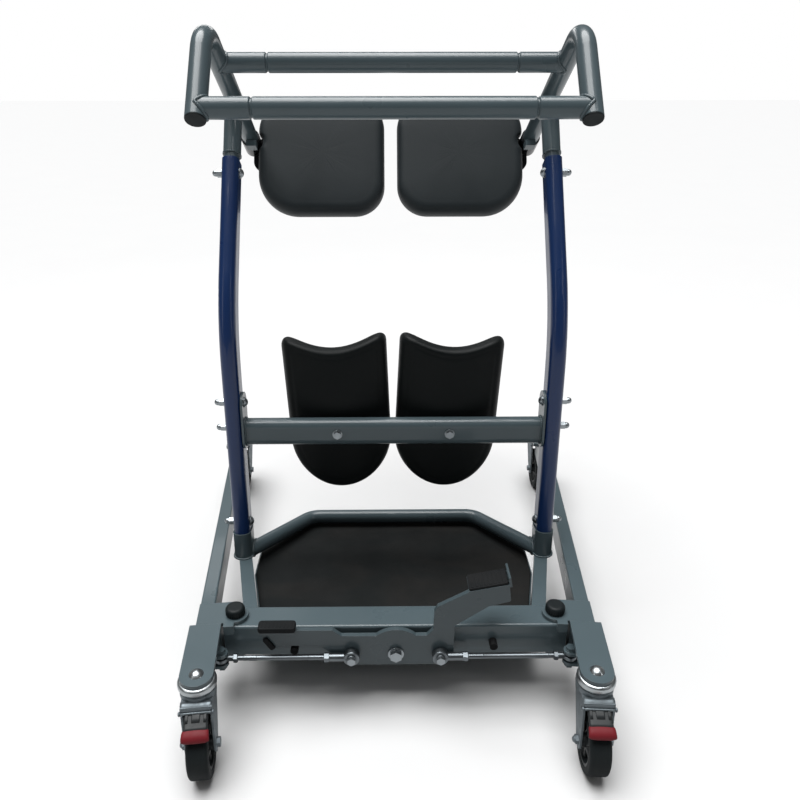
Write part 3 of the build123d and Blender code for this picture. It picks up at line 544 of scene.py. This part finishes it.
def shin_outline(inset, dip, count):
    """Front outline, x and z from the pad's bolt: dished top with soft ears, round bottom."""
    half, top, bottom = SHIN_W / 2 - inset, 0.163 - inset, -0.135 + inset
    low = bottom + 0.092 - inset * 0.3
    ear = 0.013 - inset * 0.25
    long, short = 32, 12
    turned = 0.62 * pi                                      # angle that each ear turns through
    track = []
    for i in range(long + 1):
        angle = pi + pi * i / long
        track.append(Vector((half * cos(angle), low + (low - bottom) * sin(angle))))
    for i in range(short + 1):
        angle = turned * i / short
        track.append(Vector((half - ear + ear * cos(angle), top - ear + ear * sin(angle))))
    reach = half - ear * 1.4
    for i in range(1, long):
        x = reach * (1 - 2 * i / long)
        track.append(Vector((x, top - 0.0005 - dip * (1 - (x / reach) ** 2) ** 1.25)))
    for i in range(short + 1):
        angle = pi - turned + turned * i / short
        track.append(Vector((-half + ear + ear * cos(angle), top - ear + ear * sin(angle))))
    return resample(track, count)


def shin_pad(word, paint):
    """Shin pad: a bent moulding, hollow towards the legs, with a rolled lip all round."""
    side = SIDES[word]
    bolt_low, bolt_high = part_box("shin_pad_bolts")
    bolt_z = (bolt_low.z + bolt_high.z) / 2
    bolt_x = side * (max(abs(bolt_low.x), bolt_high.x) - SHIN_BOLT_R)
    turn = radians(SHIN_LEAN) * side
    count = 200
    outer = shin_outline(0.0, 0.0165, count)
    inner = shin_outline(0.021, 0.0135, count)

    def place(p, depth):
        radius = SHIN_R - depth
        y = SHIN_BACK + SHIN_R - sqrt(max(radius ** 2 - p.x ** 2, 1e-6))
        return (bolt_x + p.x * cos(turn) + p.y * sin(turn), y,
                bolt_z - p.x * sin(turn) + p.y * cos(turn))

    # share of the way from rim to inner line, and depth from the convex back
    rim = ((1.0, 0.0), (0.86, 0.030), (0.72, 0.034), (0.50, 0.030), (0.30, 0.06), (0.12, 0.15),
           (0.02, 0.30), (0.0, 0.46), (0.0, 0.60), (0.05, 0.76), (0.16, 0.89), (0.34, 0.965),
           (0.6, 0.99), (1.0, 1.0))
    middle = Vector((0.0, 0.02))
    rings = []
    for share in (0.1, 0.3, 0.5, 0.7, 0.86):
        rings.append([place(middle.lerp(q, share), 0.0) for q in inner])
    for share, depth in rim:
        rings.append([place(p.lerp(q, share), SHIN_T * depth) for p, q in zip(outer, inner)])
    held = len(rings)
    for share in (0.9, 0.75, 0.6, 0.45, 0.3, 0.15):
        rings.append([place(middle.lerp(q, share), SHIN_T) for q in inner])
    pad = loft("shin_cushion_" + word, rings)
    hold(pad, held * count)
    dress(pad, paint)
    return pad


# ---- footplate mat ------------------------------------------------------------------------
def footplate_mat(paint):
    """The CAD mat's outline, with a rolled edge and a surface that isn't dead flat."""
    low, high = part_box("footplate_mat")
    count, edge = 320, 0.002
    outer = resample(top_outline(NODES["footplate_mat"], high.z), count)
    centre = sum(outer, Vector((0, 0))) / count
    rings = []
    for inset, drop in ((0.0, high.z - low.z), (0.0, 0.0022), (0.0006, 0.0008), (edge, 0.0)):
        rings.append([(*shrink(p, centre, inset), high.z - drop) for p in outer])
    for share in [1 - 0.06 * i for i in range(1, 16)] + [0.04]:
        ring = []
        for p in outer:
            q = centre.lerp(shrink(p, centre, edge), share)
            wave = 0.0005 * noise.noise(Vector((q.x * 9, q.y * 9, 0.0)))
            ring.append((q.x, q.y, high.z - 0.0004 + wave))
        rings.append(ring)
    mat = loft("foot_mat", rings)
    dress(mat, paint)
    return mat


def shrink(p, centre, inset):
    run = centre - p
    return p + run * (inset / run.length)


def top_outline(obj, height):
    """Corner points of a flat-topped CAD prism, in order round its middle."""
    corners = {(round(v.co.x, 5), round(v.co.y, 5)) for v in obj.data.vertices
               if abs(v.co.z - height) < 1e-5}
    points = [Vector(p) for p in corners]
    middle = sum(points, Vector((0, 0))) / len(points)
    return sorted(points, key=lambda p: atan2(p.y - middle.y, p.x - middle.x))


# ---- foot crank and tie rods --------------------------------------------------------------
def as_is(*point):
    return point


def slab(name, outline, z0, z1, edge, place, count):
    """A flat piece with rolled edges: outline in x and y, thickness from z0 to z1."""
    outer = resample(outline, count)
    centre = sum(outer, Vector((0, 0))) / count

    def ring(share, z):
        return [place(*centre.lerp(p, share), z) for p in outer]

    half = min(max(p.x for p in outer) - centre.x, max(p.y for p in outer) - centre.y)
    roll = 0.6 * edge / half                                # share of the way to the middle
    steps = ((1.0, 0.0), (0.45, 0.06), (0.12, 0.3), (0.0, 1.0))
    rings = [ring(0.5, z0), ring(0.85, z0)]
    rings += [ring(1 - roll * a, z0 + edge * b) for a, b in steps]
    rings += [ring(1 - roll * a, z1 - edge * b) for a, b in reversed(steps)]
    rings += [ring(1 - roll * 1.4, z1), ring(0.6, z1), ring(0.25, z1)]
    return loft(name, rings)


def crank_pad(paint):
    """Rubber sleeve on the close pedal, with faint grip ribs, and the buffer on its end."""
    low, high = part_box("crank_pad")
    outline = rounded_outline(low.x, high.x, low.y, high.y, [0.005] * 4, 160)
    pieces = [slab("pedal_sleeve", outline, low.z, high.z - 0.0004, 0.0026, as_is, 160)]
    ribs, half, gap = 9, 0.0011, 0.003
    for i in range(ribs):
        x = low.x + (high.x - low.x) * (i + 1) / (ribs + 1)
        rib = rounded_outline(x - half, x + half, low.y + gap, high.y - gap, [0.001] * 4, 32)
        pieces.append(slab(f"pedal_rib_{i}", rib, high.z - 0.0012, high.z, 0.0004, as_is, 32))

    middle = Vector((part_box("crank_plate")[0].x + 0.0135, low.y + 0.0108, low.z - 0.0290))
    lean = radians(32)

    def place(a, b, h):
        return (middle.x + a * cos(lean) - b * sin(lean), middle.y - h,
                middle.z + a * sin(lean) + b * cos(lean))

    outline = rounded_outline(-0.0045, 0.0045, -0.0125, 0.0125, [0.002] * 4, 48)
    pieces.append(slab("pedal_buffer", outline, 0.0, 0.0035, 0.0010, place, 48))
    for piece in pieces:
        dress(piece, paint)
    return pieces


def tread_pad(paint):
    """Rubber strip on the open pedal's raised tread, with grip grooves across it."""
    low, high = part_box("tread_pad")
    rise, level, thick = sin(TREAD_SLOPE), cos(TREAD_SLOPE), TREAD_PAD_T
    run = (high.x - low.x - thick * rise) / level
    root_x = low.x + thick * rise

    def place(a, b, h):
        return root_x + a * level - h * rise, b, low.z + a * rise + h * level

    outline = rounded_outline(0.0, run, low.y, high.y, [0.003] * 4, 120)
    pieces = [slab("tread_sheet", outline, 0.0, thick - 0.0008, 0.0012, place, 120)]
    ribs, half, gap = 8, 0.0022, 0.002
    for i in range(ribs):
        a = run * (i + 0.9) / (ribs + 0.8)
        rib = rounded_outline(a - half, a + half, low.y + gap, high.y - gap, [0.001] * 4, 32)
        pieces.append(slab(f"tread_rib_{i}", rib, thick - 0.0016, thick, 0.0005, place, 32))
    for piece in pieces:
        dress(piece, paint)
    return pieces


def thread(name, start, end, radius):
    """Rolled thread on a rod, as a string of ridges."""
    run = Vector(end) - Vector(start)
    depth, pitch = 0.0005, 0.00125
    profile = [(radius * 0.6, 0.0)]
    for i in range(int(run.length / pitch)):
        profile += [(radius, pitch * i), (radius + depth, pitch * (i + 0.5))]
    profile += [(radius, run.length), (radius * 0.6, run.length)]
    return lathe(name, profile, start, run, 20)


def tie_rod_threads(word, paint):
    side = SIDES[word]
    low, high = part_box("tie_rod_" + word)
    y, z = (low.y + high.y) / 2, (low.z + high.z) / 2
    jam_nut = max(abs(corner.x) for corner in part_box("rod_end_" + word))
    far_end = max(abs(low.x), abs(high.x))
    spans = ((jam_nut + 0.0002, jam_nut + 0.026), (far_end - 0.068, far_end - 0.046))
    pieces = []
    for i, (a, b) in enumerate(spans):
        piece = thread(f"rod_thread_{word}_{i}", (side * a, y, z), (side * b, y, z), 0.00405)
        dress(piece, paint)
        pieces.append(piece)
    return pieces


def rod_ball(word, paint):
    """The ball that shows in the mouth of a rod end."""
    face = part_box("rod_end_" + word)[0].y
    pin = Vector(JOINTS[f"rod_{word}_swing"]["pos_m"])
    profile = [(0.0042, 0.0), (0.0062, 0.0), (0.0078, 0.0012), (0.0086, 0.003), (0.0042, 0.003)]
    ball = lathe("rod_ball_" + word, profile, (pin.x, face - 0.0016, pin.z), (0, 1, 0), 40)
    dress(ball, paint)
    return ball


# ---- casters ------------------------------------------------------------------------------
def caster_frame(name):
    """Puts points of a caster's own frame (swivel axis at x = y = 0, wheel at -y) in place."""
    stem = Vector(JOINTS[f"caster_{name}_swivel"]["pos_m"])
    across = Vector(JOINTS[f"wheel_{name}_spin"]["axis"])
    along = Vector((-across.y, across.x, 0.0))

    def place(x, y, z):
        return Vector((stem.x, stem.y, 0.0)) + across * x + along * y + Vector((0, 0, z))

    return place


def ribbon(name, line, width, thick, place, taper=1.0, bow=0.0, edge=0.0008):
    """A bent strip: line gives (y, z) points in order; the strip is as wide as asked in x.
    Its width grows by the taper along the line, and its middle stands proud by the bow."""
    points = [Vector(p) for p in line]
    across = 12
    rings = []
    for i, p in enumerate(points):
        run = (points[min(i + 1, len(points) - 1)] - points[max(i - 1, 0)]).normalized()
        up = Vector((-run.y, run.x)) if run.x < 0 else Vector((run.y, -run.x))
        up = -up if up.y < 0 else up
        half = width / 2 * (1 + (taper - 1) * i / (len(points) - 1))
        ring = []
        for face in (1, -1):
            for k in range(across + 1):
                x = face * half * (1 - 2 * k / across)
                lift = thick / 2 - (edge if k in (0, across) else 0)
                q = p + up * (face * lift - bow * (x / half) ** 2)
                ring.append(place(x, q.x, q.y))
        rings.append(ring)
    return loft(name, rings)


def brake_lever(name, body_paint, tread_paint):
    """Foot brake of a near caster: a dark sloping body with a raised middle, and a red tread."""
    place = caster_frame(name)
    word = name.split("_")[1]
    body = ribbon("brake_body_" + word, [(-0.0210, 0.1135), (-0.0270, 0.1158), (-0.0340, 0.1150),
                                         (-0.0440, 0.1110), (-0.0530, 0.1068), (-0.0575, 0.1050)],
                  0.0345, 0.006, place, 1.0, 0.0006)
    dress(body, body_paint)
    extras = []
    for i, (x, width) in enumerate(((-0.0132, 0.0045), (0.0, 0.0130), (0.0132, 0.0045))):
        rib = ribbon(f"brake_rib_{word}_{i}", [(-0.0300, 0.1180), (-0.0360, 0.1172),
                                               (-0.0430, 0.1142), (-0.0480, 0.1114)],
                     width, 0.0026, lambda a, y, z, x=x: place(a + x, y, z))
        dress(rib, body_paint)
        extras.append(rib)
    tread = ribbon("brake_tread_" + word, [(-0.0545, 0.1056), (-0.0575, 0.1060),
                                           (-0.0625, 0.1048), (-0.0668, 0.1022),
                                           (-0.0684, 0.0985), (-0.0686, 0.0950)],
                   0.0380, 0.0050, place, 1.10, 0.0010, 0.0014)
    subdivide(tread)
    dress(tread, tread_paint)
    return [body, tread, *extras]


def fork_front(name, steel):
    """Pressed skirt at the front of the fork, and the bright bar with its screws across it."""
    place = caster_frame(name)
    skirt = ribbon("fork_skirt_" + name, [(-0.0240, 0.1290), (-0.0300, 0.1278), (-0.0340, 0.1240),
                                          (-0.0358, 0.1195)],
                   0.046, 0.0022, place, 1.0, 0.0004)
    bar = ribbon("fork_bar_" + name, [(-0.0362, 0.1202), (-0.0366, 0.1188), (-0.0366, 0.1174)],
                 0.048, 0.0030, place)
    pieces = [skirt, bar]
    for i, x in enumerate((-0.0262, 0.0262)):
        out = place(x * 2, 0, 0) - place(x, 0, 0)
        head = lathe(f"fork_screw_{name}_{i}", [(0.0, 0.0), (0.0036, 0.0), (0.0036, 0.0012),
                                                (0.0026, 0.0026), (0.0, 0.0030)],
                     place(x * 0.89, -0.0352, 0.1175), out, 20)
        pieces.append(head)
    for piece in pieces:
        dress(piece, steel)
    return pieces


def wheel_face(name, side, paint):
    """Moulded spokes on one side of a wheel."""
    axle = Vector(JOINTS[f"wheel_{name}_spin"]["pos_m"])
    across = Vector(JOINTS[f"wheel_{name}_spin"]["axis"]) * side
    x, y, _ = axes_from(across, (0, 0, 1))
    pieces = []
    for i, angle in enumerate(turns(6)):
        out = around(x, y, angle)
        turn = out.cross(across)

        def place(x, r, h, out=out, turn=turn):
            return axle + out * r + turn * x + across * h

        spoke = spoke_mesh(f"spoke_{name}_{'outer' if side > 0 else 'inner'}_{i}", place)
        dress(spoke, paint)
        pieces.append(spoke)
    return pieces


def spoke_mesh(name, place):
    """One rib of the wheel: wide at the boss, narrow in the middle, wide at the rim."""
    root, edge = 0.0048, 0.001
    rings = []
    for r, half, top in ((0.0100, 0.0062, 0.0130), (0.0140, 0.0042, 0.0125),
                         (0.0200, 0.0030, 0.0115), (0.0270, 0.0030, 0.0110),
                         (0.0312, 0.0044, 0.0115), (0.0332, 0.0062, 0.0120)):
        rings.append([place(x, r, h) for x, h in
                      ((-half, root), (-half, top - edge), (-half + edge, top),
                       (half - edge, top), (half, top - edge), (half, root))])
    return loft(name, rings)


# ---- welds --------------------------------------------------------------------------------
def bar_weld(bar, side):
    """Mitre line where a grip bar's stub meets the handle loop."""
    low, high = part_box(bar)
    y, z = (low.y + high.y) / 2, (low.z + high.z) / 2
    direction = NEAR_RUN if bar.endswith("near") else FAR_RUN
    path = []
    for angle in turns(72):
        a, b = TUBE_R * cos(angle), TUBE_R * sin(angle)
        off = -a * direction.z + b * direction.y
        x = LOOP_X - sqrt(max(TUBE_R ** 2 - off ** 2, 0.0)) - 0.0006
        path.append((side * x, y + a * 1.02, z + b * 1.02))
    return bead(f"weld_{bar}_{'right' if side > 0 else 'left'}", path, 0.0026, ripple=0.05)


def oval_path(size, place, grow):
    """Path round an oval tube of this width and depth, put in place by the given function."""
    half_w, half_d = size[0] / 2 + grow, size[1] / 2 + grow
    radius = min(size) * 0.45 + grow
    outline = rounded_outline(-half_w, half_w, -half_d, half_d, [radius] * 4, 64)
    return [place(p.x, p.y) for p in outline]


def stem_weld(word):
    """Where the stem runs into the handle loop from below."""
    rake = Vector((0, sin(UPPER_RAKE), cos(UPPER_RAKE)))
    wide = Vector((0, cos(UPPER_RAKE), -sin(UPPER_RAKE)))
    down = Vector((0, SEAT_AXIS.z, -SEAT_AXIS.y))
    start = Vector((LOOP_X, *UPRIGHT_BEND))
    gap = SEAT_PIVOT - start
    join = start + rake * (gap.dot(down) / rake.dot(down))
    path = []
    for a, b in oval_path(STEM, as_is, 0.0004):
        reach = sqrt(max((TUBE_R + 0.0006) ** 2 - a * a, 0.0))
        t = (wide.dot(down) * b - reach) / rake.dot(down)
        path.append(join + Vector((a, 0, 0)) + wide * b - rake * t)
    return bead("weld_stem_" + word, mirrored(SIDES[word], path), 0.0020)


def leg_point(side, x, y, z):
    """From a leg's own frame (x outwards and y along the leg, from its pivot) to the machine's."""
    pivot = Vector(JOINTS["leg_right_open"]["pos_m"])
    return Vector((side * (pivot.x + x * cos(LEG_TOE) + y * sin(LEG_TOE)),
                   pivot.y - x * sin(LEG_TOE) + y * cos(LEG_TOE), z))


def leg_welds(word):
    """Beads across the leg tube at both ends of the upper pivot lug."""
    side = SIDES[word]
    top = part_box("leg_frame_" + word)[1].z - LUG_T
    beads = []
    for i, y in enumerate(LUG_ENDS):
        line = [leg_point(side, x, y, top + 0.0012) for x in (0.040, 0.048, 0.056, 0.061)]
        beads.append(bead(f"weld_lug_{word}_{i}", line, 0.0022, closed=False))
    return beads


def frame_welds(word):
    """Beads round the socket, the heel rail's end, the shin bar's end and the side rail's end."""
    side = SIDES[word]
    rail_low, rail_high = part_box("side_rail_" + word)
    lean_y = UPRIGHT_BEND[0] + (rail_high.z - UPRIGHT_BEND[1]) * tan(LOWER_LEAN)
    top_z = rail_high.z + 0.0008
    ring = oval_path(SOCKET, lambda a, b: (side * (LOOP_X + a), lean_y + b, top_z), 0.0008)
    beads = [bead("weld_socket_" + word, ring, 0.0020)]

    run = (Vector(HEEL_END) - Vector(HEEL_CORNER)).normalized()
    out, up, _ = axes_from(run, (1, 0, 0))
    ring = []
    for angle in turns(60):
        p = Vector(HEEL_END) + around(out, up, angle) * HEEL_R
        p += run * ((LOOP_X - SOCKET_HALF - p.x) / run.x)
        ring.append((side * p.x, p.y, p.z))
    beads.append(bead("weld_heel_" + word, ring, 0.0019))

    bar_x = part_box("shin_bar")[1].x - 0.0048
    bar_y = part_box("shin_pad_bolts")[0].y + 0.0221
    ring = oval_path(BAR_FLANGE, lambda a, b: (side * bar_x, bar_y + a, SHIN_BAR_Z + b), 0.0008)
    beads.append(bead("weld_shin_bar_" + word, ring, 0.0018))

    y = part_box("crossmember")[1].y + 0.0008
    near, far = RAIL_ROOT - RAIL_HALF, RAIL_ROOT + RAIL_HALF
    line = [(side * x, y, z) for x, z in ((near, rail_low.z), (near, rail_high.z),
                                          (far, rail_high.z), (far, rail_low.z))]
    beads.append(bead("weld_rail_" + word, line, 0.0019, closed=False))
    return beads


# ---- putting it together ------------------------------------------------------------------
def paints():
    return {
        "grey_paint": powder_coat("grey_coat", GREY, (0.16, 0.18, 0.19)),
        "navy_paint": powder_coat("navy_coat", NAVY, (0.05, 0.08, 0.13)),
        "seat_skin": foam_skin("seat_foam_skin", (0.0070, 0.0108, 0.0128), 0.50, 0.24),
        "shin_skin": foam_skin("shin_foam_skin", (0.0020, 0.0032, 0.0034), 0.48, 0.10),
        "mat_rubber": rubber("mat_rubber_sheet", (0.0056, 0.0067, 0.0069),
                             (0.0106, 0.0101, 0.0095)),
        "pad_rubber": rubber("pedal_rubber", (0.0045, 0.0052, 0.0058), (0.009, 0.009, 0.009), 0.7),
        "black_plastic": moulded("black_moulding", (0.0040, 0.0062, 0.0070), 0.48, specular=0.15),
        "fastener_zinc": plated("zinc_fasteners", (0.26, 0.285, 0.30), 0.32),
        "rod_steel": plated("bright_rod", (0.13, 0.145, 0.155), 0.33, (0.2, 1.0, 1.0)),
        "caster_zinc": plated("caster_zinc", (0.165, 0.190, 0.205), 0.58),
        "brake_lever": moulded("brake_red", (0.099, 0.0086, 0.012), 0.50, specular=0.12),
        "lever_body": moulded("brake_body", (0.014, 0.016, 0.017), 0.46, specular=0.2),
        "tyre_rubber": rubber("tyre", (0.0050, 0.0075, 0.0085), (0.012, 0.014, 0.014), 0.68),
        "hub_plastic": moulded("wheel_centre", (0.009, 0.012, 0.013), 0.5),
        "black_paint": powder_coat("black_coat", (0.004, 0.005, 0.006), (0.03, 0.03, 0.03)),
        # the crank plate is the frame's grey paint; this darker copy of the grey coat is painted shade
        "crank_painted_shade": powder_coat("crank_shaded_coat", tone(GREY, 0.76), (0.14, 0.16, 0.17)),
        "race_chrome": plated("race_chrome", (0.36, 0.385, 0.395), 0.30),
    }


def dress_cad(coats):
    for part in frame["record"]["subparts"]:
        dress(NODES[part["node"]], coats[part["material_slot"]])
    # painted shade: the crank plate gets the darkened copy of the grey coat
    dress(NODES["crank_plate"], coats["crank_painted_shade"])
    for word in SIDES:
        dress(NODES["caster_stems_" + word], coats["race_chrome"])


def add(pieces, body, slot, *replaced):
    """Rides pieces on a body, instead of the CAD nodes named. The slot argument is not used."""
    for obj in pieces if isinstance(pieces, list) else [pieces]:
        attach(obj, body)
        if replaced:
            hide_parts(*replaced)


def main():
    camera()
    studio()
    floor()
    coats = paints()
    dress_cad(coats)

    seats = {word: seat_pad(word, coats["seat_skin"]) for word in SIDES}
    shins = {word: shin_pad(word, coats["shin_skin"]) for word in SIDES}
    puff([*seats.values(), *shins.values()], 4.0, 0.003)
    for word in SIDES:
        add(subdivide(seats[word]), "seat_" + word, "seat_skin", "seat_pad_" + word)
        add(subdivide(shins[word]), "frame", "shin_skin", "shin_pad_" + word)

    add(footplate_mat(coats["mat_rubber"]), "frame", "mat_rubber", "footplate_mat")
    add(crank_pad(coats["pad_rubber"]), "crank", "pad_rubber", "crank_pad")
    add(tread_pad(coats["pad_rubber"]), "crank", "pad_rubber", "tread_pad")

    for word, side in SIDES.items():
        add(tie_rod_threads(word, coats["rod_steel"]), "rod_" + word, "rod_steel")
        add(rod_ball(word, coats["rod_steel"]), "rod_" + word, "rod_steel")
        lever = brake_lever("near_" + word, coats["lever_body"], coats["brake_lever"])
        add(lever, "brake_" + word, "brake_lever", "brake_pedal_" + word)
        welds = [bar_weld(bar, side) for bar in ("grip_bar_near", "grip_bar_far")]
        welds += [stem_weld(word), *frame_welds(word)]
        for body, beads in (("frame", welds), ("leg_" + word, leg_welds(word))):
            for joint in beads:
                dress(joint, coats["grey_paint"])
            add(beads, body, "grey_paint")
    for name in CASTERS:
        add(fork_front(name, coats["caster_zinc"]), "caster_" + name, "caster_zinc")
        for side in (-1, 1):
            add(wheel_face(name, side, coats["hub_plastic"]), "wheel_" + name, "hub_plastic")


main()
